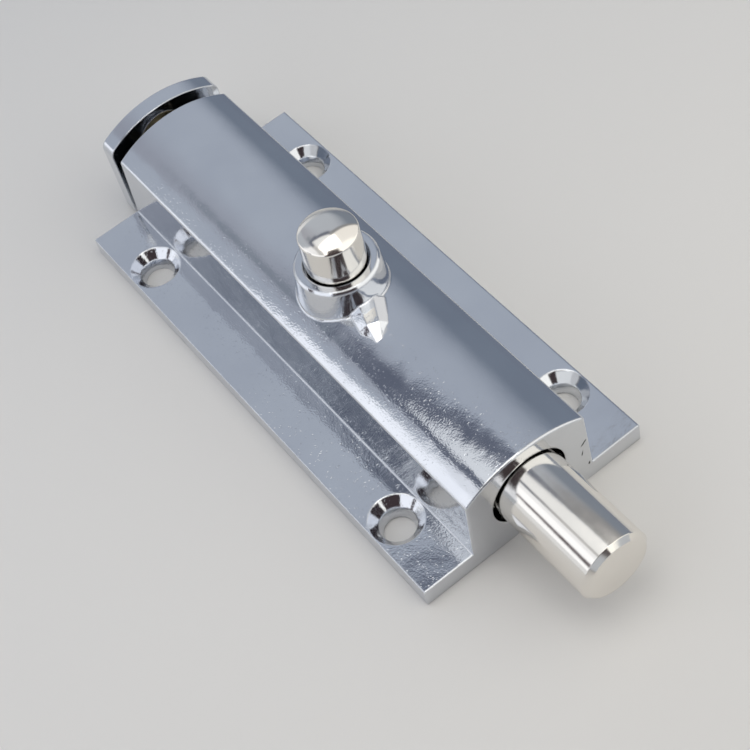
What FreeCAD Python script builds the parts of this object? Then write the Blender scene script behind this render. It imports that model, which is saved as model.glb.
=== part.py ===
import FreeCAD, Part
import math
import os
import re
import Sketcher

# Door bolt: a round bolt in a cast housing, thrown by pushing its rear cap,
# held by a sprung push button and drawn back by a return spring.
# Frame: origin at the centre of the four mounting holes on the mounting
# plane, +X along the bolt towards its nose, +Z up from the mounting plane.
# All sizes are in millimetres.

SIZES = {
    # Housing casting
    "plate_length": 108.0,
    "plate_width": 48.0,
    "plate_thickness": 4.2,
    "body_root_width": 26.8,
    "body_shoulder_width": 25.5,
    "shoulder_height": 18.4,
    "arch_rise": 3.9,
    "shoulder_radius": 0.7,
    "casting_edge_radius": 0.35,
    "front_margin": 14.4,
    "hole_spacing_long": 78.5,
    "hole_edge_margin": 5.25,
    "hole_diameter": 5.8,
    "throat_diameter": 6.9,
    "throat_angle": 40.0,
    "countersink_diameter": 10.2,
    # Chambers in the housing, open at its underside
    "cavity_width": 19.5,
    "roof_clearance": 0.5,
    "rear_wall": 6.75,
    "mid_rib": 3.2,
    "latch_room": 7.4,
    "front_bore_depth": 34.6,
    "slot_clearance": 0.4,
    # Bolt: nose, relief and guide
    "bolt_axis_height": 12.0,
    "nose_radius": 7.0,
    "nose_reach": 21.7,
    "nose_chamfer": 0.9,
    "nose_start": 0.3,
    "relief_depth": 0.2,
    "guide_clearance": 0.1,
    "guide_length": 11.0,
    "bore_clearance": 0.9,
    "bore_drop": 0.5,
    "bolt_travel": 20.5,
    "stop_clearance": 0.3,
    # Rod behind the bolt and its cross pin
    "rod_radius": 3.5,
    "rod_spigot": 12.0,
    "rod_flat": 0.6,
    "notch_depth": 2.0,
    "cross_pin_radius": 1.25,
    "cross_pin_length": 14.0,
    "seat_clearance": 0.05,
    "bush_radius": 5.5,
    # End cap and its screw
    "cap_gap": 3.0,
    "cap_thickness": 4.1,
    "cap_overhang": 0.2,
    "cap_floor_gap": 1.0,
    "cap_corner_radius": 2.0,
    "cap_edge_radius": 0.7,
    "cap_pocket": 1.6,
    "cap_screw_radius": 2.0,
    "cap_screw_head_radius": 4.0,
    "cap_screw_length": 12.0,
    "cap_driver_slot": 0.9,
    "cap_driver_depth": 1.3,
    # Return spring with its washers and clip
    "washer_radius": 5.5,
    "washer_thickness": 1.0,
    "washer_clearance": 0.3,
    "clip_thickness": 1.0,
    "clip_radius": 5.3,
    "clip_groove_radius": 2.8,
    "clip_opening": 4.6,
    "return_wire": 1.0,
    "return_coil_radius": 4.6,
    "return_half_turns": 18,
    # Button collar on the housing and the nub at its foot
    "button_offset": 4.0,
    "collar_height": 27.9,
    "collar_radius": 7.8,
    "collar_draft": 0.1,
    "collar_bore_radius": 6.05,
    "collar_edge": 0.5,
    "ledge_thickness": 1.8,
    "collar_foot_radius": 0.4,
    "nub_angle": 22.0,
    "nub_shift": 2.8,
    "nub_crease_reach": 13.4,
    "nub_reach": 16.8,
    "nub_root_width": 7.0,
    "nub_crease_width": 5.4,
    "nub_tip_width": 2.4,
    "nub_root_rise": 1.4,
    "nub_crease_rise": 1.1,
    "nub_tip_drop": 0.4,
    "nub_crown": 1.2,
    "nub_crest_share": 0.42,
    # Push button, stem, spring and latch yoke
    "button_rim_height": 35.5,
    "button_radius": 5.5,
    "button_base_radius": 5.75,
    "button_edge_radius": 0.5,
    "button_dome": 1.8,
    "button_wall": 1.15,
    "button_roof": 2.0,
    "button_travel": 3.0,
    "boss_radius": 3.0,
    "boss_length": 5.6,
    "stem_radius": 2.2,
    "stem_clearance": 0.4,
    "stem_thread_radius": 1.8,
    "stem_thread_length": 4.5,
    "spigot_radius": 1.4,
    "button_wire": 0.8,
    "button_coil_radius": 3.75,
    "button_half_turns": 11,
    "yoke_thickness": 4.0,
    "yoke_width": 13.0,
    "yoke_neck_width": 11.0,
    "yoke_shoulder_gap": 0.5,
    "yoke_bar": 2.6,
    "yoke_bridge": 1.9,
    "yoke_clearance": 0.3,
    "window_clearance": 0.4,
    "latch_gap": 0.25,
    # Back plate over the chambers and its screws
    "cover_thickness": 1.2,
    "cover_sink": 0.2,
    "cover_ledge": 1.9,
    "cover_clearance": 0.25,
    "cover_rear_margin": 1.2,
    "cover_front_lap": 8.25,
    "cover_screw_radius": 1.5,
    "cover_screw_head_radius": 2.5,
    "cover_screw_length": 5.5,
    "cover_screw_inset": 2.9,
    "cover_screw_spread": 15.0,
    "cover_driver_slot": 0.6,
    "cover_driver_depth": 0.7,
}

# Places that follow from the sizes
FRONT = "(hole_spacing_long / 2 + front_margin)"
REAR = f"({FRONT} - plate_length)"
HOLE_ROW = "(plate_width / 2 - hole_edge_margin)"
AXIS = "bolt_axis_height"
CROWN = "(shoulder_height + arch_rise)"
HALF_ARCH = "(body_shoulder_width / 2)"
ARCH_RADIUS = f"(({HALF_ARCH} * {HALF_ARCH} + arch_rise * arch_rise) / (2 * arch_rise))"
BORE_END = f"({FRONT} - front_bore_depth)"
ROOF = f"({AXIS} + washer_radius + roof_clearance)"
GUIDE_RADIUS = "(nose_radius + bore_clearance - bore_drop - guide_clearance)"
REAR_WALL_FACE = f"({REAR} + rear_wall)"
LATCH_FRONT = "(button_offset + latch_room)"
LATCH_REAR = "(button_offset - latch_room)"
MID_RIB_REAR = f"({LATCH_REAR} - mid_rib)"
GUIDE_REAR = f"({BORE_END} + bolt_travel + stop_clearance)"
GUIDE_FRONT = f"({GUIDE_REAR} + guide_length)"
CROSS_PIN = f"({GUIDE_REAR} + guide_length / 2)"
NOSE_REAR = f"({FRONT} + nose_start)"
NOSE_TIP = f"({FRONT} + nose_reach)"
CAP_FRONT = f"({REAR} - cap_gap)"
CAP_REAR = f"({CAP_FRONT} - cap_thickness)"
ROD_REAR = f"({CAP_FRONT} - cap_pocket + seat_clearance)"
CLIP_REAR = f"({REAR_WALL_FACE} + bolt_travel + stop_clearance)"
CLIP_FRONT = f"({CLIP_REAR} + clip_thickness)"
SPRING_REAR = f"({CLIP_FRONT} + washer_thickness)"
SPRING_FRONT = f"({MID_RIB_REAR} - washer_thickness)"
FLAT_DROP = "(rod_radius - rod_flat)"
D_RADIUS = "(rod_radius + seat_clearance)"
D_DROP = f"({FLAT_DROP} + seat_clearance)"
BAR_TOP = f"({AXIS} - {FLAT_DROP} - latch_gap)"
WINDOW_TOP = f"({AXIS} + rod_radius + button_travel + yoke_clearance)"
WINDOW_HALF = "(rod_radius + window_clearance)"
YOKE_TOP = f"({WINDOW_TOP} + yoke_bridge)"
POCKET_TOP = f"({YOKE_TOP} + yoke_clearance)"
LEDGE_TOP = f"({POCKET_TOP} + ledge_thickness)"
SKIRT_END = f"({LEDGE_TOP} + button_travel + yoke_clearance)"
BUTTON_CEILING = "(button_rim_height - button_roof)"
BOSS_END = f"({BUTTON_CEILING} - boss_length)"
COVER_FACE = "(cover_thickness + cover_sink)"
COVER_REAR = f"({REAR} + cover_rear_margin)"
COVER_FRONT = f"({BORE_END} + cover_front_lap)"
COVER_EDGE = "(cavity_width / 2 + cover_ledge)"
COVER_SCREWS = [
    (f"{end}", f"{hand}cover_screw_spread / 2")
    for end in (f"{COVER_REAR} + cover_clearance + cover_screw_inset",
                f"{COVER_FRONT} - cover_clearance - cover_screw_inset")
    for hand in ("-", "")
]

SHEET = "Sizes"
FUNCTIONS = ("sqrt", "sin", "cos")

doc = FreeCAD.newDocument("DoorBolt")
sheet = doc.addObject("Spreadsheet::Sheet", SHEET)
for row, (alias, size) in enumerate(SIZES.items(), start=1):
    sheet.set(f"A{row}", alias.replace("_", " "))
    sheet.set(f"B{row}", str(size))
    sheet.setAlias(f"B{row}", alias)
doc.recompute()


def cell(text):
    """The expression with each size written as a reference to the sheet."""
    def refer(match):
        word = match.group(0)
        return word if word in FUNCTIONS else f"{SHEET}.{word}"
    return re.sub(r"[a-z_]+", refer, text)


def value(text):
    """The number that an expression of the sizes has now."""
    return float(sheet.evalExpression(cell(text)))


def bind(thing, **places):
    """Tie properties of an object to expressions of the sizes."""
    for place, text in places.items():
        thing.setExpression(place.replace("__", "."), cell(text))


def new_body(label):
    body = doc.addObject("PartDesign::Body", label)
    body.Label = label
    return body


def new_sketch(body, name, role, offset=None):
    """A sketch on an origin plane of its own body, lifted along that plane's normal."""
    sketch = body.newObject("Sketcher::SketchObject", name)
    plane = next(item for item in body.Origin.OriginFeatures if item.Role == role)
    sketch.AttachmentSupport = [(plane, "")]
    sketch.MapMode = "FlatFace"
    if offset:
        bind(sketch, AttachmentOffset__Base__z=offset)
    doc.recompute()
    return sketch


def hold(sketch, kind, text, *places):
    """A constraint of a sketch that follows an expression of the sizes."""
    index = sketch.addConstraint(Sketcher.Constraint(kind, *places, value(text)))
    sketch.setExpression(f"Constraints[{index}]", cell(text))


def pin_point(sketch, geometry, end, across, up):
    """Hold a point of a sketch at two distances from the sketch's origin."""
    hold(sketch, "DistanceX", across, -1, 1, geometry, end)
    hold(sketch, "DistanceY", up, -1, 1, geometry, end)


def end_at(sketch, geometry, place):
    """Which end of a line or arc lies at a place: 1 its start, 2 its end."""
    shape = sketch.Geometry[geometry]
    return 1 if (shape.StartPoint - place).Length < (shape.EndPoint - place).Length else 2


def draw_outline(sketch, corners, arcs=None):
    """A closed outline through corners, counter-clockwise. arcs gives the
    radius of each side that bulges outwards as an arc."""
    arcs = arcs or {}
    first = sketch.GeometryCount
    spots = [FreeCAD.Vector(value(across), value(up), 0) for across, up in corners]
    following = spots[1:] + spots[:1]
    for side, (start, end) in enumerate(zip(spots, following)):
        if side in arcs:
            radius = value(arcs[side])
            chord = end - start
            outward = FreeCAD.Vector(chord.y, -chord.x, 0).normalize()
            bulge = radius - math.sqrt(radius ** 2 - (chord.Length / 2) ** 2)
            sketch.addGeometry(Part.Arc(start, (start + end) * 0.5 + outward * bulge, end), False)
        else:
            sketch.addGeometry(Part.LineSegment(start, end), False)
    for side, spot in enumerate(following):
        here = first + side
        other = first + (side + 1) % len(corners)
        joint = Sketcher.Constraint("Coincident", here, end_at(sketch, here, spot),
                                    other, end_at(sketch, other, spot))
        sketch.addConstraint(joint)
    for side, (across, up) in enumerate(corners):
        pin_point(sketch, first + side, end_at(sketch, first + side, spots[side]), across, up)
    for side, radius in arcs.items():
        hold(sketch, "Radius", radius, first + side)


def draw_box(sketch, left, right, low, high):
    draw_outline(sketch, [(left, low), (right, low), (right, high), (left, high)])


def draw_circle(sketch, across, up, radius):
    centre = FreeCAD.Vector(value(across), value(up), 0)
    index = sketch.addGeometry(Part.Circle(centre, FreeCAD.Vector(0, 0, 1), value(radius)), False)
    pin_point(sketch, index, 3, across, up)
    hold(sketch, "Radius", radius, index)


def draw_flatted_circle(sketch, up, radius, drop):
    """A circle round the bolt's axis, cut off by a level line below its centre."""
    reach = f"sqrt({radius} * {radius} - {drop} * {drop})"
    level = f"{up} - {drop}"
    left = FreeCAD.Vector(-value(reach), value(level), 0)
    right = FreeCAD.Vector(value(reach), value(level), 0)
    top = FreeCAD.Vector(0, value(up) + value(radius), 0)
    sketch.addGeometry(Part.LineSegment(left, right), False)
    sketch.addGeometry(Part.Arc(right, top, left), False)
    sketch.addConstraint(Sketcher.Constraint("Coincident", 0, 2, 1, end_at(sketch, 1, right)))
    sketch.addConstraint(Sketcher.Constraint("Coincident", 0, 1, 1, end_at(sketch, 1, left)))
    sketch.addConstraint(Sketcher.Constraint("Horizontal", 0))
    pin_point(sketch, 0, 1, f"-{reach}", level)
    pin_point(sketch, 1, 3, "0", up)


def draw_axis(sketch, across, low, high):
    """An upright construction line that a profile is turned about."""
    start = FreeCAD.Vector(value(across), value(low), 0)
    end = FreeCAD.Vector(value(across), value(high), 0)
    index = sketch.addGeometry(Part.LineSegment(start, end), True)
    pin_point(sketch, index, 1, across, low)
    pin_point(sketch, index, 2, across, high)


def extrude(body, kind, name, sketch, length, both_ways=False, reverse=False):
    """A pad or pocket of a sketch."""
    feature = body.newObject(f"PartDesign::{kind}", name)
    feature.Profile = sketch
    bind(feature, Length=length)
    if both_ways:
        feature.SideType = "Symmetric"
    feature.Reversed = reverse
    doc.recompute()
    return feature


def turn(body, kind, name, sketch, axis):
    """A revolution or groove of a sketch about one of its axes."""
    feature = body.newObject(f"PartDesign::{kind}", name)
    feature.Profile = sketch
    feature.ReferenceAxis = (sketch, [axis])
    feature.Angle = 360
    doc.recompute()
    return feature


def round_named(body, name, radius, edges):
    """Fillet the named edges of the body."""
    if not edges:
        raise RuntimeError(f"{body.Label}: {name} found no edge")
    tip = body.Tip
    fillet = body.newObject("PartDesign::Fillet", name)
    fillet.Base = (tip, edges)
    bind(fillet, Radius=radius)
    doc.recompute()


def round_edges(body, name, radius, wanted):
    """Fillet the open edges of the body whose end points pass a test."""
    picked = []
    for number, edge in enumerate(body.Tip.Shape.Edges, start=1):
        points = [vertex.Point for vertex in edge.Vertexes]
        if len(points) == 2 and wanted(points[0], points[1]):
            picked.append(f"Edge{number}")
    round_named(body, name, radius, picked)


def near(number, target):
    return abs(number - target) < 1e-4


def cut_rounded_slot(body, name, start, length, half, low, top_centre):
    """A slot along X with upright sides and a half-round top."""
    sides = new_sketch(body, f"{name}_sides", "YZ_Plane", start)
    draw_box(sides, f"-{half}", half, low, top_centre)
    extrude(body, "Pocket", name, sides, length, reverse=True)
    top = new_sketch(body, f"{name}_round", "YZ_Plane", start)
    draw_circle(top, "0", top_centre, half)
    extrude(body, "Pocket", f"{name}_top", top, length, reverse=True)


def nub_section(body, name, reach, width, top):
    """One flat-crested section across the nub, whose axis runs aslant in plan."""
    sketch = new_sketch(body, name, "YZ_Plane")
    sketch.AttachmentOffset = FreeCAD.Placement(
        FreeCAD.Vector(0, 0, 0), FreeCAD.Rotation(FreeCAD.Vector(0, 1, 0), -value("nub_angle")))
    sketch.setExpression("AttachmentOffset.Base.x", cell(f"nub_shift - {reach} * sin(nub_angle)"))
    sketch.setExpression("AttachmentOffset.Base.z", cell(f"button_offset + {reach} * cos(nub_angle)"))
    sketch.setExpression("AttachmentOffset.Rotation.Angle", cell("-nub_angle"))
    doc.recompute()
    half = f"{width} / 2"
    side = f"{top} - nub_crown"
    crest = f"{half} * nub_crest_share"
    draw_outline(sketch, [
        (f"-{half}", "shoulder_height"),
        (half, "shoulder_height"),
        (half, side),
        (crest, top),
        (f"-{crest}", top),
        (f"-{half}", side),
    ])
    return sketch


def build_housing():
    """Zinc casting: mounting plate, arched body and button collar in one piece."""
    body = new_body("housing")
    profile = new_sketch(body, "housing_profile", "YZ_Plane", REAR)
    corners = [
        ("-plate_width / 2", "0"),
        ("plate_width / 2", "0"),
        ("plate_width / 2", "plate_thickness"),
        ("body_root_width / 2", "plate_thickness"),
        (HALF_ARCH, "shoulder_height"),
        (f"-{HALF_ARCH}", "shoulder_height"),
        ("-body_root_width / 2", "plate_thickness"),
        ("-plate_width / 2", "plate_thickness"),
    ]
    draw_outline(profile, corners, arcs={4: ARCH_RADIUS})
    extrude(body, "Pad", "housing_block", profile, "plate_length")
    shoulder = value("shoulder_height")
    half = value(HALF_ARCH)
    round_edges(body, "shoulder_rounding", "shoulder_radius",
                lambda a, b: near(a.z, shoulder) and near(b.z, shoulder)
                and near(abs(a.y), half) and not near(a.x, b.x))
    plate = value("plate_thickness")
    faces = (value(FRONT), value(REAR))
    round_edges(body, "end_face_edges", "casting_edge_radius",
                lambda a, b: near(a.x, b.x) and a.z + b.z > 2 * plate + 1
                and any(near(a.x, face) for face in faces))

    # Collar round the button, drafted outwards to its foot
    collar = new_sketch(body, "collar_profile", "XZ_Plane")
    foot = "shoulder_height"
    draw_outline(collar, [
        ("button_offset", foot),
        (f"button_offset + collar_radius + (collar_height - {foot}) * collar_draft", foot),
        ("button_offset + collar_radius", "collar_height - collar_edge"),
        ("button_offset + collar_radius - collar_edge", "collar_height"),
        ("button_offset", "collar_height"),
    ])
    draw_axis(collar, "button_offset", foot, "collar_height")
    turn(body, "Revolution", "collar", collar, "Axis0")

    top = value("collar_height")
    reach = value("collar_radius") * 2
    centre = FreeCAD.Vector(value("button_offset"), 0, 0)
    foot_edges = []
    for number, edge in enumerate(body.Tip.Shape.Edges, start=1):
        middle = edge.valueAt((edge.FirstParameter + edge.LastParameter) / 2)
        flat = FreeCAD.Vector(middle.x, middle.y, 0)
        if (flat - centre).Length < reach and shoulder < middle.z < top - 2:
            foot_edges.append(f"Edge{number}")
    round_named(body, "collar_foot", "collar_foot_radius", foot_edges)

    # Creased nub at the collar's foot, falling to its tip
    sections = [
        nub_section(body, "nub_root", "collar_radius", "nub_root_width", f"{CROWN} + nub_root_rise"),
        nub_section(body, "nub_fold", "nub_crease_reach", "nub_crease_width",
                    f"{CROWN} + nub_crease_rise"),
        nub_section(body, "nub_tip", "nub_reach", "nub_tip_width", f"{CROWN} - nub_tip_drop"),
    ]
    nub = body.newObject("PartDesign::AdditiveLoft", "nub")
    nub.Profile = sections[0]
    nub.Sections = sections[1:]
    nub.Ruled = True
    doc.recompute()

    # Two chambers from the underside, with a rib left between them
    chambers = new_sketch(body, "chamber_outlines", "XY_Plane")
    side = "cavity_width / 2"
    draw_box(chambers, REAR_WALL_FACE, MID_RIB_REAR, f"-{side}", side)
    draw_box(chambers, LATCH_REAR, LATCH_FRONT, f"-{side}", side)
    extrude(body, "Pocket", "chambers", chambers, ROOF, reverse=True)

    # Slot through the ribs that lets the rod be laid in from below
    cut_rounded_slot(body, "rod_slot", REAR_WALL_FACE, f"{BORE_END} - {REAR_WALL_FACE}",
                     "(rod_radius + slot_clearance)", "0", AXIS)

    recess = new_sketch(body, "cover_recess_outline", "XY_Plane")
    draw_box(recess, COVER_REAR, COVER_FRONT, f"-{COVER_EDGE}", COVER_EDGE)
    extrude(body, "Pocket", "cover_recess", recess, COVER_FACE, reverse=True)

    bore = new_sketch(body, "front_bore_circle", "YZ_Plane", FRONT)
    draw_circle(bore, "0", f"{AXIS} - bore_drop", "nose_radius + bore_clearance")
    extrude(body, "Pocket", "front_bore", bore, "front_bore_depth")
    seat = new_sketch(body, "bush_seat_circle", "YZ_Plane", REAR)
    draw_circle(seat, "0", AXIS, "bush_radius")
    extrude(body, "Pocket", "bush_seat", seat, "rear_wall", reverse=True)

    # Button bore, stem hole through its ledge, yoke pocket under the ledge
    well = new_sketch(body, "button_bore_circle", "XY_Plane", "collar_height")
    draw_circle(well, "button_offset", "0", "collar_bore_radius")
    extrude(body, "Pocket", "button_bore", well, f"collar_height - {LEDGE_TOP}")
    stem_hole = new_sketch(body, "stem_hole_circle", "XY_Plane", "collar_height")
    draw_circle(stem_hole, "button_offset", "0", "stem_radius + stem_clearance")
    extrude(body, "Pocket", "stem_hole", stem_hole, f"collar_height - {ROOF}")
    pocket = new_sketch(body, "yoke_pocket_outline", "XY_Plane")
    along = "(yoke_thickness / 2 + yoke_clearance)"
    across = "(yoke_neck_width / 2 + yoke_clearance)"
    draw_box(pocket, f"button_offset - {along}", f"button_offset + {along}", f"-{across}", across)
    extrude(body, "Pocket", "yoke_pocket", pocket, POCKET_TOP, reverse=True)

    taps = new_sketch(body, "cover_tap_circles", "XY_Plane")
    for along, across in COVER_SCREWS:
        draw_circle(taps, along, across, "cover_screw_radius + seat_clearance")
    extrude(body, "Pocket", "cover_taps", taps, "cover_sink + cover_screw_length + 2 * seat_clearance",
            reverse=True)

    # Four countersunk mounting holes
    centres = new_sketch(body, "mounting_hole_circles", "XY_Plane", "plate_thickness")
    for end in ("-", ""):
        for hand in ("-", ""):
            draw_circle(centres, f"{end}hole_spacing_long / 2", hand + HOLE_ROW, "hole_diameter / 2")
    drill(body, "mounting_holes", centres, "hole_diameter", "countersink_diameter")
    # Draft below each countersink, down to the straight land at the underside
    throat = "plate_thickness - (countersink_diameter - throat_diameter) / 2"
    throats = new_sketch(body, "throat_circles", "XY_Plane", throat)
    for end in ("-", ""):
        for hand in ("-", ""):
            draw_circle(throats, f"{end}hole_spacing_long / 2", hand + HOLE_ROW, "hole_diameter / 2")
    drill(body, "hole_throats", throats, "hole_diameter", "throat_diameter", angle="throat_angle")
    return body


def drill(body, name, circles, diameter, head_diameter, reverse=False, angle="90"):
    """Countersunk through holes at the circles of a sketch."""
    doc.recompute()
    holes = body.newObject("PartDesign::Hole", name)
    holes.Profile = circles
    holes.DepthType = "ThroughAll"
    holes.Reversed = reverse
    holes.HoleCutType = "Countersink"
    holes.HoleCutCustomValues = True
    bind(holes, Diameter=diameter, HoleCutDiameter=head_diameter, HoleCutCountersinkAngle=angle)
    doc.recompute()


def build_back_plate():
    """Steel plate that closes the chambers, let into the underside."""
    body = new_body("back_plate")
    outline = new_sketch(body, "cover_outline", "XY_Plane", "cover_sink")
    edge = f"({COVER_EDGE} - cover_clearance)"
    draw_box(outline, f"{COVER_REAR} + cover_clearance", f"{COVER_FRONT} - cover_clearance",
             f"-{edge}", edge)
    extrude(body, "Pad", "cover_sheet", outline, "cover_thickness")
    circles = new_sketch(body, "cover_hole_circles", "XY_Plane", "cover_sink")
    for along, across in COVER_SCREWS:
        draw_circle(circles, along, across, "cover_screw_radius + seat_clearance")
    drill(body, "cover_holes", circles, "2 * (cover_screw_radius + seat_clearance)",
          "2 * (cover_screw_head_radius + seat_clearance)", reverse=True)
    return body


def draw_cross(sketch, across, up, arm, half):
    """The outline of a cross recess round a point."""
    left, right = f"{across} - {arm}", f"{across} + {arm}"
    near_left, near_right = f"{across} - {half}", f"{across} + {half}"
    low, high = f"{up} - {arm}", f"{up} + {arm}"
    near_low, near_high = f"{up} - {half}", f"{up} + {half}"
    draw_outline(sketch, [
        (near_left, low), (near_right, low), (near_right, near_low), (right, near_low),
        (right, near_high), (near_right, near_high), (near_right, high), (near_left, high),
        (near_left, near_high), (left, near_high), (left, near_low), (near_left, near_low),
    ])


def build_cover_screws():
    """Four countersunk screws that hold the back plate."""
    body = new_body("back_plate_screws")
    shanks = new_sketch(body, "screw_shank_circles", "XY_Plane", "cover_sink")
    heads = new_sketch(body, "screw_head_circles", "XY_Plane", "cover_sink")
    for along, across in COVER_SCREWS:
        draw_circle(shanks, along, across, "cover_screw_radius")
        draw_circle(heads, along, across, "cover_screw_head_radius")
    extrude(body, "Pad", "screw_shanks", shanks, "cover_screw_length")
    cones = extrude(body, "Pad", "screw_heads", heads, "cover_screw_head_radius - cover_screw_radius")
    cones.TaperAngle = -45
    recesses = new_sketch(body, "screw_recesses", "XY_Plane", "cover_sink")
    for along, across in COVER_SCREWS:
        draw_cross(recesses, along, across, "cover_screw_radius * 0.9", "cover_driver_slot / 2")
    extrude(body, "Pocket", "screw_crosses", recesses, "cover_driver_depth", reverse=True)
    return body


def build_bolt():
    """Round bolt: chamfered nose, relief behind it and a guide that runs in the bore."""
    body = new_body("bolt")
    bind(body, Placement__Base__z=AXIS)
    profile = new_sketch(body, "bolt_profile", "XZ_Plane")
    waist = "nose_radius - relief_depth"
    draw_outline(profile, [
        (GUIDE_REAR, "0"),
        (NOSE_TIP, "0"),
        (NOSE_TIP, "nose_radius - nose_chamfer"),
        (f"{NOSE_TIP} - nose_chamfer", "nose_radius"),
        (NOSE_REAR, "nose_radius"),
        (NOSE_REAR, waist),
        (GUIDE_FRONT, waist),
        (GUIDE_FRONT, GUIDE_RADIUS),
        (GUIDE_REAR, GUIDE_RADIUS),
    ])
    turn(body, "Revolution", "bolt_turning", profile, "H_Axis")
    socket = new_sketch(body, "rod_socket_circle", "YZ_Plane", GUIDE_REAR)
    draw_circle(socket, "0", "0", "rod_radius + seat_clearance")
    extrude(body, "Pocket", "rod_socket", socket, "rod_spigot", reverse=True)
    cross = new_sketch(body, "bolt_cross_circle", "XZ_Plane")
    draw_circle(cross, CROSS_PIN, "0", "cross_pin_radius + seat_clearance")
    extrude(body, "Pocket", "bolt_cross_hole", cross, f"4 * {GUIDE_RADIUS}", both_ways=True)
    return body


def build_rod():
    """Rod from the bolt to the end cap, flatted underneath, with the latch notch."""
    body = new_body("bolt_rod")
    bind(body, Placement__Base__z=AXIS)
    section = new_sketch(body, "rod_circle", "YZ_Plane", ROD_REAR)
    draw_circle(section, "0", "0", "rod_radius")
    extrude(body, "Pad", "rod_bar", section, f"{GUIDE_REAR} + rod_spigot - seat_clearance - {ROD_REAR}")
    flat = new_sketch(body, "rod_flat_outline", "XZ_Plane")
    draw_box(flat, ROD_REAR, f"{GUIDE_REAR} - slot_clearance", "-2 * rod_radius", f"-{FLAT_DROP}")
    extrude(body, "Pocket", "rod_flatting", flat, "4 * rod_radius", both_ways=True)
    notch = new_sketch(body, "notch_outline", "XZ_Plane")
    half = "(yoke_thickness / 2 + window_clearance)"
    draw_box(notch, f"button_offset - {half}", f"button_offset + {half}",
             "-2 * rod_radius", f"-{FLAT_DROP} + notch_depth")
    extrude(body, "Pocket", "latch_notch", notch, "4 * rod_radius", both_ways=True)
    ring = new_sketch(body, "clip_groove_outline", "XZ_Plane")
    draw_box(ring, f"{CLIP_REAR} - seat_clearance", f"{CLIP_FRONT} + seat_clearance",
             "clip_groove_radius", "2 * rod_radius")
    turn(body, "Groove", "clip_groove", ring, "H_Axis")
    tapped = new_sketch(body, "tapped_hole_circle", "YZ_Plane", ROD_REAR)
    draw_circle(tapped, "0", "0", "cap_screw_radius + seat_clearance")
    extrude(body, "Pocket", "tapped_hole", tapped, "cap_screw_length", reverse=True)
    cross = new_sketch(body, "rod_cross_circle", "XZ_Plane")
    draw_circle(cross, CROSS_PIN, "0", "cross_pin_radius + seat_clearance")
    extrude(body, "Pocket", "rod_cross_hole", cross, "4 * rod_radius", both_ways=True)
    return body


def build_cross_pin():
    """Pin through the bolt's guide and the rod."""
    body = new_body("bolt_cross_pin")
    bind(body, Placement__Base__x=CROSS_PIN, Placement__Base__z=AXIS)
    section = new_sketch(body, "cross_pin_circle", "XZ_Plane")
    draw_circle(section, "0", "0", "cross_pin_radius")
    extrude(body, "Pad", "cross_pin_bar", section, "cross_pin_length", both_ways=True)
    return body


def build_end_cap():
    """Rear cap under the housing's arch, with upright sides and softened rear edges."""
    body = new_body("end_cap")
    profile = new_sketch(body, "cap_profile", "YZ_Plane", CAP_REAR)
    half = f"({HALF_ARCH} + cap_overhang)"
    corners = [
        (f"-{half}", "cap_floor_gap"),
        (half, "cap_floor_gap"),
        (half, "shoulder_height"),
        (f"-{half}", "shoulder_height"),
    ]
    arc = f"(({half} * {half} + arch_rise * arch_rise) / (2 * arch_rise))"
    draw_outline(profile, corners, arcs={2: arc})
    extrude(body, "Pad", "cap_slab", profile, "cap_thickness")
    shoulder = value("shoulder_height")
    round_edges(body, "cap_shoulders", "cap_corner_radius",
                lambda a, b: near(a.z, shoulder) and near(b.z, shoulder) and not near(a.x, b.x))
    rear = value(CAP_REAR)
    round_edges(body, "cap_rear_edges", "cap_edge_radius",
                lambda a, b: near(a.x, rear) and near(b.x, rear))
    seat = new_sketch(body, "rod_seat_outline", "YZ_Plane", CAP_FRONT)
    draw_flatted_circle(seat, AXIS, D_RADIUS, D_DROP)
    extrude(body, "Pocket", "rod_seat", seat, "cap_pocket")
    circle = new_sketch(body, "cap_hole_circle", "YZ_Plane", CAP_REAR)
    draw_circle(circle, "0", AXIS, "cap_screw_radius + seat_clearance")
    drill(body, "cap_hole", circle, "2 * (cap_screw_radius + seat_clearance)",
          "2 * (cap_screw_head_radius + seat_clearance)", reverse=True)
    return body


def build_cap_screw():
    """Countersunk screw that draws the end cap onto the rod."""
    body = new_body("end_cap_screw")
    bind(body, Placement__Base__x=CAP_REAR, Placement__Base__z=AXIS)
    profile = new_sketch(body, "cap_screw_profile", "XZ_Plane")
    cone = "cap_screw_head_radius - cap_screw_radius"
    draw_outline(profile, [
        ("0", "0"),
        ("cap_screw_length", "0"),
        ("cap_screw_length", "cap_screw_radius"),
        (cone, "cap_screw_radius"),
        ("0", "cap_screw_head_radius"),
    ])
    turn(body, "Revolution", "cap_screw_turning", profile, "H_Axis")
    cross = new_sketch(body, "cap_screw_recess", "YZ_Plane")
    draw_cross(cross, "0", "0", "cap_screw_radius * 1.05", "cap_driver_slot / 2")
    extrude(body, "Pocket", "cap_screw_cross", cross, "cap_driver_depth", reverse=True)
    return body


def build_rear_bush():
    """Bush pressed into the rear wall; its flatted bore keeps the rod from turning."""
    body = new_body("rear_bush")
    section = new_sketch(body, "bush_circle", "YZ_Plane", REAR)
    draw_circle(section, "0", AXIS, "bush_radius")
    extrude(body, "Pad", "bush_ring", section, "rear_wall")
    hole = new_sketch(body, "bush_bore_outline", "YZ_Plane", REAR)
    draw_flatted_circle(hole, AXIS, f"({D_RADIUS} + seat_clearance)", f"({D_DROP} + seat_clearance)")
    extrude(body, "Pocket", "bush_bore", hole, "rear_wall", reverse=True)
    return body


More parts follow.
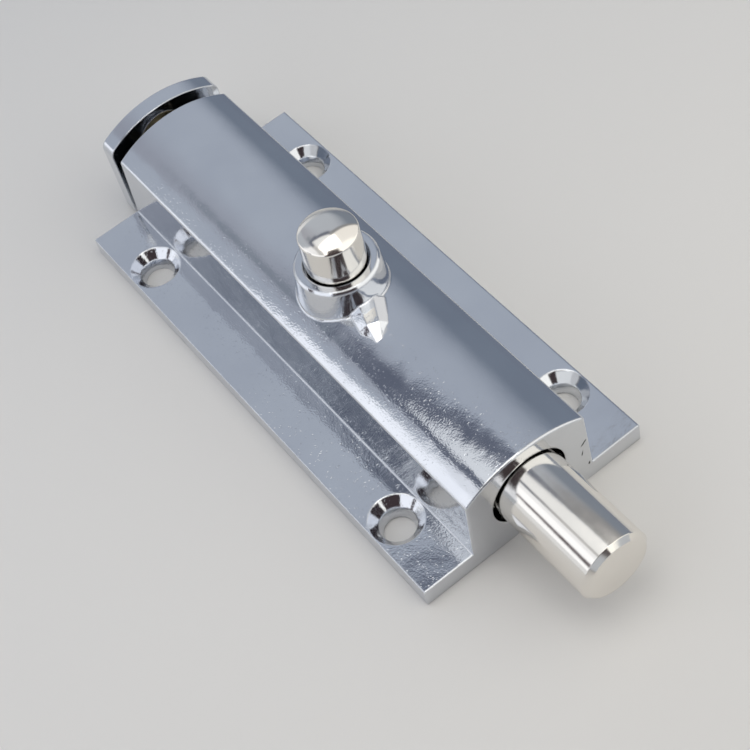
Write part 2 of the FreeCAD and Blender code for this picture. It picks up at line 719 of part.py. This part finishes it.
def build_ring(label, start, thickness, radius, hole, opening=None):
    """A flat ring on the bolt's axis, open at its top where an opening is given."""
    body = new_body(label)
    bind(body, Placement__Base__x=start, Placement__Base__z=AXIS)
    section = new_sketch(body, f"{label}_circles", "YZ_Plane")
    draw_circle(section, "0", "0", radius)
    draw_circle(section, "0", "0", hole)
    extrude(body, "Pad", f"{label}_ring", section, thickness)
    if opening:
        mouth = new_sketch(body, f"{label}_mouth", "YZ_Plane")
        draw_box(mouth, f"-{opening} / 2", f"{opening} / 2", "0", f"2 * {radius}")
        extrude(body, "Pocket", f"{label}_cut", mouth, thickness, reverse=True)
    return body


def build_button():
    """Hollow push button with a shallow dome and a tapped boss inside."""
    body = new_body("push_button")
    bind(body, Placement__Base__x="button_offset")
    profile = new_sketch(body, "button_profile", "XZ_Plane")
    inner = "button_base_radius - button_wall"
    hole_end = f"{BOSS_END} + stem_thread_length + 2 * seat_clearance"
    hole = "stem_thread_radius + seat_clearance"
    dome = "((button_radius * button_radius + button_dome * button_dome) / (2 * button_dome))"
    draw_outline(profile, [
        ("0", hole_end),
        (hole, hole_end),
        (hole, BOSS_END),
        ("boss_radius", BOSS_END),
        ("boss_radius", BUTTON_CEILING),
        (inner, BUTTON_CEILING),
        (inner, SKIRT_END),
        ("button_base_radius", SKIRT_END),
        ("button_radius", "button_rim_height"),
        ("0", "button_rim_height + button_dome"),
    ], arcs={8: dome})
    turn(body, "Revolution", "button_turning", profile, "V_Axis")
    rim = value("button_rim_height")
    edges = enumerate(body.Tip.Shape.Edges, start=1)
    round_named(body, "button_rim", "button_edge_radius",
                [f"Edge{number}" for number, edge in edges
                 if near(edge.BoundBox.Center.z, rim) and edge.BoundBox.ZLength < 0.01])
    return body


def build_stem():
    """Stem screwed into the button and riveted into the yoke."""
    body = new_body("button_stem")
    bind(body, Placement__Base__x="button_offset")
    profile = new_sketch(body, "stem_profile", "XZ_Plane")
    draw_outline(profile, [
        ("0", WINDOW_TOP),
        ("spigot_radius", WINDOW_TOP),
        ("spigot_radius", YOKE_TOP),
        ("stem_radius", YOKE_TOP),
        ("stem_radius", BOSS_END),
        ("stem_thread_radius", BOSS_END),
        ("stem_thread_radius", f"{BOSS_END} + stem_thread_length"),
        ("0", f"{BOSS_END} + stem_thread_length"),
    ])
    turn(body, "Revolution", "stem_turning", profile, "V_Axis")
    return body


def build_yoke():
    """Latch yoke that hangs round the rod; its lower bar engages the rod's notch."""
    body = new_body("latch_yoke")
    outline = new_sketch(body, "yoke_outline", "YZ_Plane", "button_offset - yoke_thickness / 2")
    wide = "yoke_width / 2"
    neck = "yoke_neck_width / 2"
    shoulder = f"{ROOF} - yoke_shoulder_gap"
    foot = f"{BAR_TOP} - yoke_bar"
    draw_outline(outline, [
        (f"-{wide}", foot),
        (wide, foot),
        (wide, shoulder),
        (neck, shoulder),
        (neck, YOKE_TOP),
        (f"-{neck}", YOKE_TOP),
        (f"-{neck}", shoulder),
        (f"-{wide}", shoulder),
    ])
    extrude(body, "Pad", "yoke_slab", outline, "yoke_thickness")
    cut_rounded_slot(body, "yoke_window", "button_offset - yoke_thickness / 2", "yoke_thickness",
                     WINDOW_HALF, BAR_TOP, f"{WINDOW_TOP} - {WINDOW_HALF}")
    hole = new_sketch(body, "spigot_hole_circle", "XY_Plane", YOKE_TOP)
    draw_circle(hole, "button_offset", "0", "spigot_radius + seat_clearance")
    extrude(body, "Pocket", "spigot_hole", hole, "yoke_bridge + spigot_radius")
    return body


def build_coil(label, seat, direction, length, coil_radius, wire, half_turns):
    """One unbroken coil of round wire between two seats, of half-turn arcs."""
    rise = (length - wire) / half_turns
    arcs = []
    for number in range(half_turns):
        side = 1 if number % 2 == 0 else -1
        low = number * rise
        start = FreeCAD.Vector(side * coil_radius, 0, low)
        middle = FreeCAD.Vector(0, side * coil_radius, low + rise / 2)
        end = FreeCAD.Vector(-side * coil_radius, 0, low + rise)
        arcs.append(Part.Arc(start, middle, end).toShape())
    section = Part.Wire(Part.makeCircle(wire / 2, FreeCAD.Vector(coil_radius, 0, 0),
                                        FreeCAD.Vector(0, 1, 0)))
    gap = 2 * rise - wire
    print(f"{label}: {half_turns / 2} turns, least gap between turns {gap:.2f} mm")
    coil = doc.addObject("Part::Feature", label)
    coil.Shape = Part.Wire(arcs).makePipeShell([section], True, False)
    rotation = FreeCAD.Rotation(FreeCAD.Vector(0, 0, 1), direction)
    coil.Placement = FreeCAD.Placement(seat + direction * (wire / 2), rotation)
    coil.Label = label
    return coil


def build_springs():
    rear = value(SPRING_REAR)
    front = value(SPRING_FRONT)
    build_coil("return_spring", FreeCAD.Vector(rear, 0, value(AXIS)), FreeCAD.Vector(1, 0, 0),
               front - rear, value("return_coil_radius"), value("return_wire"),
               int(value("return_half_turns")))
    ledge = value(LEDGE_TOP)
    build_coil("button_spring", FreeCAD.Vector(value("button_offset"), 0, ledge),
               FreeCAD.Vector(0, 0, 1), value(BUTTON_CEILING) - ledge, value("button_coil_radius"),
               value("button_wire"), int(value("button_half_turns")))


build_housing()
build_back_plate()
build_cover_screws()
build_rear_bush()
build_bolt()
build_rod()
build_cross_pin()
build_end_cap()
build_cap_screw()
washer_hole = "rod_radius + washer_clearance"
build_ring("front_spring_washer", SPRING_FRONT, "washer_thickness", "washer_radius", washer_hole)
build_ring("rear_spring_washer", CLIP_FRONT, "washer_thickness", "washer_radius",
           "rod_radius + seat_clearance")
build_ring("retaining_clip", CLIP_REAR, "clip_thickness", "clip_radius",
           "clip_groove_radius + seat_clearance", opening="clip_opening")
build_button()
build_stem()
build_yoke()
build_springs()
doc.recompute()

NODES = [
    "housing", "back_plate", "back_plate_screws", "rear_bush", "bolt", "bolt_rod", "bolt_cross_pin",
    "end_cap", "end_cap_screw", "front_spring_washer", "rear_spring_washer", "retaining_clip",
    "return_spring", "push_button", "button_stem", "latch_yoke", "button_spring",
]

for item in doc.Objects:
    if "Invalid" in item.State or "Error" in item.State:
        raise RuntimeError(f"{item.Label} did not compute: {item.State}")
os.makedirs("parts", exist_ok=True)
for label in NODES:
    shape = doc.getObjectsByLabel(label)[0].Shape
    if shape.isNull() or not shape.isValid() or not shape.Solids:
        raise RuntimeError(f"{label} has no valid solid")
    shape.exportStep(f"parts/{label}.step")
    print(f"{label}: {len(shape.Solids)} solid(s), {shape.Volume:.1f} mm3")
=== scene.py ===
import math
import bpy
from mathutils import Matrix, Vector


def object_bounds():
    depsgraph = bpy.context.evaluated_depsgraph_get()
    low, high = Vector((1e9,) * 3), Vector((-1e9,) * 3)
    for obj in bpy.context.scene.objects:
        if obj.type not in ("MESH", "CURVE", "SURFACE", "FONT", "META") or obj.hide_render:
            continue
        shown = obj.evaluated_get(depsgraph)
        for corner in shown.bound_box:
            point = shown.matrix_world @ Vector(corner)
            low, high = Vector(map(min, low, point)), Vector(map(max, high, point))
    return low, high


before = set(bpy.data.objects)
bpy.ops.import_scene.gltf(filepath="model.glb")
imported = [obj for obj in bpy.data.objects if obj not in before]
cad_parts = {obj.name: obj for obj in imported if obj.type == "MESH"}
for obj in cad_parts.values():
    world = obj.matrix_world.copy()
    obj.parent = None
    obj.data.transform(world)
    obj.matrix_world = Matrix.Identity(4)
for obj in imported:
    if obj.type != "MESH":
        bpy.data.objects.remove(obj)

CAD_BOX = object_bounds()
MM = 0.001

FRONT_FACE_X = 53.65
# Flaws of the casting on the front face: y, z, turn in degrees, length, width (millimetres)
CASTING_FLAWS = ((11.9, 11.7, 42, 1.0, 0.24), (11.4, 9.0, 76, 1.0, 0.16), (12.6, 4.7, 80, 0.5, 0.24))
FLAW_COLOR = (0.03, 0.03, 0.03)

FLOOR_REACH = 2500
FLOOR_DROP = 0.05
FLOOR_COLOR = (0.755, 0.745, 0.725)
# The opening under the plate and the squares left below its holes, in half widths (millimetres)
OPENING_X, OPENING_Y = 53, 23
HOLE_X, HOLE_Y, SQUARE = 39.25, 18.75, 3

CEILING_REACH = 1.5
CEILING_HEIGHT = 0.3
ROOM_COLOR = (0.47, 0.51, 0.58)
DARK_COLOR = (0.146, 0.163, 0.215)
ONLOOKER_COLOR = (0.06, 0.045, 0.048)
# Cards on the ceiling, each laid over those before it: colour and straight edges (a, b, c, soft)
CEILING_CARDS = (
    # Back of the room, beyond the bolt's right side
    ((0.215, 0.25, 0.31), [(0.45, 1, -215, 150)]),
    # Left half, between the lamp and the window
    ((0.39, 0.41, 0.47), [(0, -1, -60, 90), (0, 1, 195, 25)]),
    # Darker stretches round the lamp
    ((0.28, 0.31, 0.36), [(0, -1, -118, 20), (0, 1, 168, 14), (1, 0, 310, 30)]),
    (DARK_COLOR, [(1, -0.44, 129, 18), (0, -1, 64, 14), (0, 1, 176, 10)]),
    (DARK_COLOR, [(1, 0, 190, 35), (0, -1, -62, 20), (0, 1, 172, 12)]),
    # Pale wall to the right and its shaded margin
    ((0.26, 0.265, 0.28), [(1, 0.2, 66, 10), (0, 1, -40, 10)]),
    ((0.95, 0.93, 0.9), [(1, 0.2, 30, 12), (0, 1, -40, 10)]),
    # Lamp overhead: its shade, its rim, its bright middle and its far part
    ((0.56, 0.56, 0.57), [(1, 0, 97, 9), (0, -1, -100, 10)]),
    ((0.9, 0.92, 0.95), [(1, -0.52, 82, 9), (0, -1, 42, 16), (0, 1, 138, 7)]),
    ((2.6, 2.55, 2.45), [(1, 0, 35, 15), (0, -1, 70, 20), (0, 1, 130, 10)]),
    ((1.3, 1.28, 1.22), [(1, 0, -90, 25)]),
    # Window to the left, with its curtain
    ((0.98, 1.0, 1.05), [(1.05, -1, -43.5, 10), (0, -1, -182, 8)]),
    ((1.2, 1.22, 1.28), [(0.49, -1, -149, 10), (0, -1, -255, 20)]),
    ((0.1, 0.08, 0.09), [(1, 0, 270, 30), (-1, 0, -110, 30), (0, -1, -480, 60)]),
    # Paler far end of the room, and before it the one who looks on
    ((0.5, 0.53, 0.58), [(1, 0, -760, 60)]),
    (ONLOOKER_COLOR, [(0.087, -0.996, 0, 12), (0.819, 0.574, 0, 12), (0.891, -0.454, -100, 12),
                      (-1, 0, 780, 40)]),
)

# The world near the horizon: colour towards +Y, then cards by the direction looked in
WORLD_COLOR = (0.21, 0.24, 0.3)
WORLD_CARDS = (
    ((0.8, 0.82, 0.85), [(-0.3, -1, 0, 0.4)]),
    ((0.5, 0.53, 0.58), [(1, 0, -0.4, 0.2)]),
    # The onlooker's dark clothes reach down to the table's edge
    (ONLOOKER_COLOR, [(0.82, 0.57, 0, 0.08), (-0.6, -0.8, 0, 0.08)]),
)
BACKGROUND_COLOR = (0.62, 0.61, 0.59)

# The photo's view: place in millimetres, the picture's right, down and forward, focal length in pixels
CAMERA_PLACE = Vector((178.855, -76.22, 250.62)) * MM
CAMERA_RIGHT = Vector((0.59884, 0.78221, -0.17187))
CAMERA_DOWN = Vector((0.58831, -0.57527, -0.56829))
CAMERA_FORWARD = Vector((-0.54340, 0.23921, -0.80467))
FOCAL_PIXELS, PICTURE_PIXELS, SENSOR_WIDTH = 1675.26, 750.0, 36.0


def node_tree(name):
    material = bpy.data.materials.new(name)
    material.use_nodes = True
    tree = material.node_tree
    tree.nodes.clear()
    return material, tree


def add(tree, kind, **inputs):
    node = tree.nodes.new(kind)
    for key, value in inputs.items():
        node.inputs[key.replace("_", " ")].default_value = value
    return node


def link(tree, source, target):
    tree.links.new(source, target)


def ramp(tree, source, stops):
    node = tree.nodes.new("ShaderNodeValToRGB")
    elements = node.color_ramp.elements
    while len(elements) < len(stops):
        elements.new(0.5)
    for element, (place, shade) in zip(elements, stops):
        element.position = place
        element.color = (shade, shade, shade, 1) if isinstance(shade, (int, float)) else (*shade, 1)
    link(tree, source, node.inputs["Fac"])
    return node.outputs["Color"]


def math_node(tree, operation, first, second):
    node = tree.nodes.new("ShaderNodeMath")
    node.operation = operation
    for socket, value in zip(node.inputs, (first, second)):
        if isinstance(value, (int, float)):
            socket.default_value = value
        else:
            link(tree, value, socket)
    return node.outputs[0]


def half_plane(tree, where, a, b, c, soft, unit=MM):
    """One where a*x + b*y + c is positive, fading to nought over soft either side."""
    across = tree.nodes.new("ShaderNodeVectorMath")
    across.operation = "DOT_PRODUCT"
    across.inputs[1].default_value = (a / unit, b / unit, 0)
    link(tree, where, across.inputs[0])
    fade = tree.nodes.new("ShaderNodeMapRange")
    fade.interpolation_type = "SMOOTHSTEP"
    fade.inputs["From Min"].default_value = -c - soft
    fade.inputs["From Max"].default_value = -c + soft
    link(tree, across.outputs["Value"], fade.inputs["Value"])
    return fade.outputs["Result"]


def mix(tree, mask, below, above):
    node = tree.nodes.new("ShaderNodeMix")
    node.data_type = "RGBA"
    link(tree, mask, node.inputs["Factor"])
    for socket, value in ((node.inputs["A"], below), (node.inputs["B"], above)):
        if isinstance(value, tuple):
            socket.default_value = (*value, 1)
        else:
            link(tree, value, socket)
    return node.outputs["Result"]


def noise(tree, where, scale, detail):
    node = add(tree, "ShaderNodeTexNoise", Scale=scale, Detail=detail)
    link(tree, where, node.inputs["Vector"])
    return node.outputs["Fac"]


def bump(tree, height, normal, strength, distance):
    node = add(tree, "ShaderNodeBump", Strength=strength, Distance=distance)
    link(tree, height, node.inputs["Height"])
    link(tree, normal, node.inputs["Normal"])
    return node.outputs["Normal"]


def patch(tree, where, below, color, edges, unit=MM):
    """A card of one colour laid over what is below, bounded by straight soft edges."""
    mask = half_plane(tree, where, *edges[0], unit=unit)
    for edge in edges[1:]:
        mask = math_node(tree, "MULTIPLY", mask, half_plane(tree, where, *edge, unit=unit))
    return mix(tree, mask, below, color)


def flaw(tree, where, y, z, turn, length, width):
    """One inside a thin streak on the front face, as a casting flaw leaves it."""
    place = add(tree, "ShaderNodeMapping", Location=(FRONT_FACE_X * MM, y * MM, z * MM),
                Rotation=(math.radians(turn), 0, 0), Scale=(MM, length * MM, width * MM))
    place.vector_type = "TEXTURE"
    link(tree, where, place.inputs["Vector"])
    reach = tree.nodes.new("ShaderNodeVectorMath")
    reach.operation = "LENGTH"
    link(tree, place.outputs["Vector"], reach.inputs[0])
    rough = math_node(tree, "ADD", reach.outputs["Value"], noise(tree, where, 1800.0, 2.0))
    return ramp(tree, math_node(tree, "MULTIPLY", rough, 0.5), [(0.55, 1.0), (0.75, 0.0)])


def plated(name, color, dark, rough, rough_span, wave, grain=0.0, pits=0.0, edge=0.0005):
    """Metal surface: tone drift, haze, a slightly uneven ground, casting grain, pits and soft edges."""
    material, tree = node_tree(name)
    out = add(tree, "ShaderNodeOutputMaterial")
    shader = add(tree, "ShaderNodeBsdfPrincipled", Metallic=1.0)
    where = tree.nodes.new("ShaderNodeTexCoord").outputs["Object"]
    tone = ramp(tree, noise(tree, where, 60.0, 3.0), [(0.3, dark), (0.7, color)])
    if pits:
        for streak in CASTING_FLAWS:
            tone = mix(tree, flaw(tree, where, *streak), tone, FLAW_COLOR)
    link(tree, tone, shader.inputs["Base Color"])
    link(tree, ramp(tree, noise(tree, where, 260.0, 6.0), [(0.3, rough), (0.75, rough + rough_span)]),
         shader.inputs["Roughness"])
    bevel = add(tree, "ShaderNodeBevel", Radius=edge)
    bevel.samples = 6
    normal = bump(tree, noise(tree, where, 220.0, 4.0), bevel.outputs["Normal"], wave, 0.0004)
    if grain:
        # Grain of the casting under the plating, strongest along the left shoulder and the front
        shoulder = half_plane(tree, where, 0.12, -1, -4, 5)
        cluster = ramp(tree, noise(tree, where, 110.0, 2.0), [(0.35, 0.25), (0.65, 1.0)])
        amount = math_node(tree, "MULTIPLY", math_node(tree, "ADD", shoulder, 0.08), cluster)
        fine = math_node(tree, "MULTIPLY", noise(tree, where, 3000.0, 1.0), amount)
        normal = bump(tree, fine, normal, grain, 0.00016)
        holes = ramp(tree, noise(tree, where, 2000.0, 1.0), [(0.67, 1.0), (0.73, 0.0)])
        normal = bump(tree, math_node(tree, "MULTIPLY", holes, amount), normal, pits, 0.00005)
    link(tree, normal, shader.inputs["Normal"])
    link(tree, shader.outputs["BSDF"], out.inputs["Surface"])
    return material


CHROME = plated("chromed_casting", (0.72, 0.74, 0.77), (0.65, 0.67, 0.71), 0.05, 0.07, 0.1, 0.11, 0.4)
NICKEL = plated("nickel_plate", (0.88, 0.85, 0.80), (0.83, 0.80, 0.75), 0.09, 0.05, 0.04, edge=0.0002)
ZINC = plated("zinc_plated_steel", (0.60, 0.61, 0.62), (0.48, 0.49, 0.50), 0.28, 0.15, 0.3, 0.3, 0.3)
SPRING = plated("spring_steel", (0.42, 0.43, 0.45), (0.32, 0.33, 0.35), 0.3, 0.1, 0.2)
BRASS = plated("bush_brass", (0.72, 0.58, 0.32), (0.6, 0.46, 0.24), 0.25, 0.1, 0.1)
STEEL = plated("bright_steel", (0.56, 0.57, 0.58), (0.5, 0.5, 0.52), 0.22, 0.1, 0.1)

FINISH = {
    "housing": CHROME, "end_cap": CHROME, "bolt": NICKEL, "push_button": NICKEL,
    "back_plate": ZINC, "back_plate_screws": ZINC, "end_cap_screw": ZINC,
    "front_spring_washer": ZINC, "rear_spring_washer": ZINC, "retaining_clip": SPRING,
    "return_spring": SPRING, "button_spring": SPRING, "rear_bush": BRASS, "bolt_rod": STEEL,
    "bolt_cross_pin": STEEL, "button_stem": STEEL, "latch_yoke": STEEL,
}
for node, finish in FINISH.items():
    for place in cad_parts[node].material_slots:
        place.material = finish


def mesh_object(name, points, faces):
    mesh = bpy.data.meshes.new(name)
    mesh.from_pydata(points, [], faces)
    piece = bpy.data.objects.new(name, mesh)
    bpy.context.collection.objects.link(piece)
    return piece


def build_floor():
    """Pale board, open under the plate but for small squares below its four holes."""
    low = CAD_BOX[0][2] - FLOOR_DROP * MM
    half_x = (HOLE_X - SQUARE, HOLE_X + SQUARE, OPENING_X, FLOOR_REACH)
    half_y = (HOLE_Y - SQUARE, HOLE_Y + SQUARE, OPENING_Y, FLOOR_REACH)
    xs = [-x * MM for x in reversed(half_x)] + [x * MM for x in half_x]
    ys = [-y * MM for y in reversed(half_y)] + [y * MM for y in half_y]
    count = len(xs)
    points = [(x, y, low) for y in ys for x in xs]
    rim, below_hole = (0, count - 2), (2, count - 4)
    squares = []
    for row in range(count - 1):
        for column in range(count - 1):
            outside = row in rim or column in rim
            if outside or (row in below_hole and column in below_hole):
                corner = row * count + column
                squares.append((corner, corner + 1, corner + count + 1, corner + count))
    floor = mesh_object("floor", points, squares)
    material, tree = node_tree("floor_board")
    out = add(tree, "ShaderNodeOutputMaterial")
    shader = add(tree, "ShaderNodeBsdfPrincipled", Roughness=0.6)
    shader.inputs["Base Color"].default_value = (*FLOOR_COLOR, 1)
    # The board is clear from below, so the underside of the bolt can be seen
    sides = tree.nodes.new("ShaderNodeMixShader")
    link(tree, tree.nodes.new("ShaderNodeNewGeometry").outputs["Backfacing"], sides.inputs["Fac"])
    link(tree, shader.outputs["BSDF"], sides.inputs[1])
    link(tree, tree.nodes.new("ShaderNodeBsdfTransparent").outputs["BSDF"], sides.inputs[2])
    link(tree, sides.outputs["Shader"], out.inputs["Surface"])
    floor.data.materials.append(material)


def build_ceiling():
    """A wide soft ceiling over the table: window light, lamp light and the darker room between."""
    reach, height = CEILING_REACH, CEILING_HEIGHT
    corners = [(-reach, -reach, height), (-reach, reach, height), (reach, reach, height),
               (reach, -reach, height)]
    ceiling = mesh_object("ceiling", corners, [(0, 1, 2, 3)])
    ceiling.visible_camera = False
    material, tree = node_tree("ceiling_light")
    out = add(tree, "ShaderNodeOutputMaterial")
    glow = add(tree, "ShaderNodeEmission", Strength=1.0)
    where = tree.nodes.new("ShaderNodeTexCoord").outputs["Object"]
    shade = ROOM_COLOR
    for color, edges in CEILING_CARDS:
        shade = patch(tree, where, shade, color, edges)
    link(tree, shade, glow.inputs["Color"])
    link(tree, glow.outputs["Emission"], out.inputs["Surface"])
    ceiling.data.materials.append(material)


def build_world():
    world = bpy.data.worlds.new("studio")
    bpy.context.scene.world = world
    world.use_nodes = True
    tree = world.node_tree
    tree.nodes.clear()
    out = tree.nodes.new("ShaderNodeOutputWorld")
    back = tree.nodes.new("ShaderNodeBackground")
    where = tree.nodes.new("ShaderNodeTexCoord").outputs["Generated"]
    shade = WORLD_COLOR
    for color, edges in WORLD_CARDS:
        shade = patch(tree, where, shade, color, edges, unit=1)
    seen = tree.nodes.new("ShaderNodeLightPath").outputs["Is Camera Ray"]
    link(tree, mix(tree, seen, shade, BACKGROUND_COLOR), back.inputs["Color"])
    link(tree, back.outputs["Background"], out.inputs["Surface"])


def build_camera():
    data = bpy.data.cameras.new("camera")
    data.sensor_fit = "HORIZONTAL"
    data.sensor_width = SENSOR_WIDTH
    data.lens = FOCAL_PIXELS * SENSOR_WIDTH / PICTURE_PIXELS
    data.clip_start = 0.01
    data.clip_end = 10.0
    camera = bpy.data.objects.new("camera", data)
    turn = Matrix((CAMERA_RIGHT, -CAMERA_DOWN, -CAMERA_FORWARD)).transposed().to_4x4()
    camera.matrix_world = Matrix.Translation(CAMERA_PLACE) @ turn
    bpy.context.collection.objects.link(camera)
    bpy.context.scene.camera = camera


build_floor()
build_ceiling()
build_world()
build_camera()
bpy.context.scene.view_settings.view_transform = "Standard"
